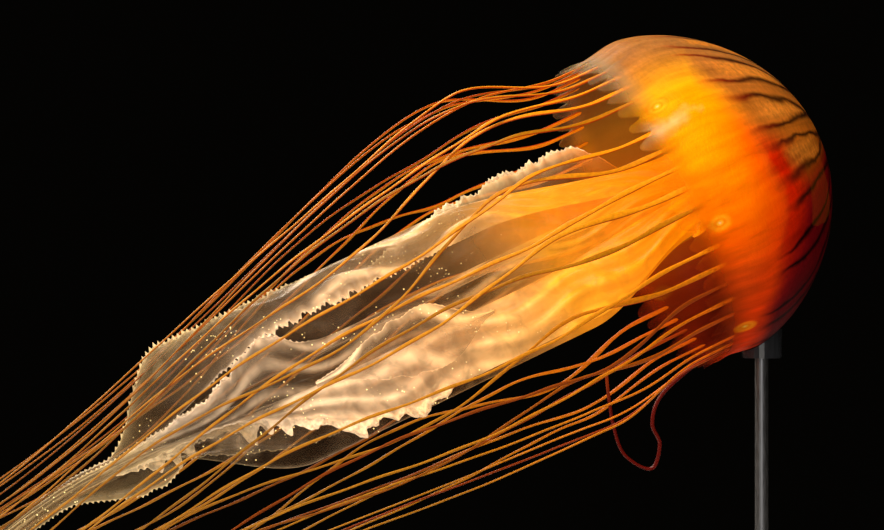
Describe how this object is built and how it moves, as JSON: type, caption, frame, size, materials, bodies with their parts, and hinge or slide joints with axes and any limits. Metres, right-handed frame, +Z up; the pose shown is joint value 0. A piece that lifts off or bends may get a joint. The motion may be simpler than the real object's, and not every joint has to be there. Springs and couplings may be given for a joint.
{
  "type": "jellyfish",
  "caption": "Still, life-size sea nettle jellyfish: striped amber bell, lobed margin, mouth tube, frilled oral arms and long trailing tentacles, on a flat base with one rod.",
  "frame": {"origin": "centre of the base plate's underside, on the floor", "axes": "+Z up; +X towards the end that the bell swims to, along the model's longest side; +Y away from the side that the model is seen from"},
  "size_m": [0.7429, 0.2363, 0.4766],
  "materials": {
    "bell_jelly": "wet, translucent amber jelly",
    "margin_jelly": "wet, translucent thin jelly",
    "mouth_tissue": "wet, soft tissue",
    "oral_arm_tissue": "wet, thin milky membrane",
    "tentacle_tissue": "wet, golden band",
    "black_acrylic": "satin black acrylic sheet",
    "steel_rod": "satin dark steel rod",
    "saddle_acrylic": "smoked acrylic"
  },
  "bodies": {
    "root": {"bell_dome": "bell_jelly", "bell_margin": "margin_jelly", "manubrium": "mouth_tissue", "oral_arm_1_upper": "oral_arm_tissue", "oral_arm_1_middle": "oral_arm_tissue", "oral_arm_1_lower": "oral_arm_tissue", "oral_arm_2_upper": "oral_arm_tissue", "oral_arm_2_middle": "oral_arm_tissue", "oral_arm_2_lower": "oral_arm_tissue", "oral_arm_3_upper": "oral_arm_tissue", "oral_arm_3_middle": "oral_arm_tissue", "oral_arm_3_lower": "oral_arm_tissue", "oral_arm_4_upper": "oral_arm_tissue", "oral_arm_4_middle": "oral_arm_tissue", "oral_arm_4_lower": "oral_arm_tissue", "tentacle_01": "tentacle_tissue", "tentacle_02": "tentacle_tissue", "tentacle_03": "tentacle_tissue", "tentacle_04": "tentacle_tissue", "tentacle_05": "tentacle_tissue", "tentacle_06": "tentacle_tissue", "tentacle_07": "tentacle_tissue", "tentacle_08": "tentacle_tissue", "tentacle_09": "tentacle_tissue", "tentacle_10": "tentacle_tissue", "tentacle_11": "tentacle_tissue", "tentacle_12": "tentacle_tissue", "tentacle_13": "tentacle_tissue", "tentacle_14": "tentacle_tissue", "tentacle_15": "tentacle_tissue", "tentacle_16": "tentacle_tissue", "tentacle_17": "tentacle_tissue", "tentacle_18": "tentacle_tissue", "tentacle_19": "tentacle_tissue", "tentacle_20": "tentacle_tissue", "tentacle_21": "tentacle_tissue", "tentacle_22": "tentacle_tissue", "tentacle_23": "tentacle_tissue", "tentacle_24": "tentacle_tissue", "tentacle_25": "tentacle_tissue", "tentacle_26": "tentacle_tissue", "tentacle_27": "tentacle_tissue", "tentacle_28": "tentacle_tissue", "tentacle_29": "tentacle_tissue", "tentacle_30": "tentacle_tissue", "tentacle_31": "tentacle_tissue", "tentacle_32": "tentacle_tissue", "tentacle_33": "tentacle_tissue", "tentacle_34": "tentacle_tissue", "tentacle_35": "tentacle_tissue", "tentacle_36": "tentacle_tissue", "tentacle_37": "tentacle_tissue", "tentacle_38": "tentacle_tissue", "tentacle_39": "tentacle_tissue", "tentacle_40": "tentacle_tissue", "stand_base": "black_acrylic", "stand_rod": "steel_rod", "stand_saddle": "saddle_acrylic"}
  },
  "joints": []
}
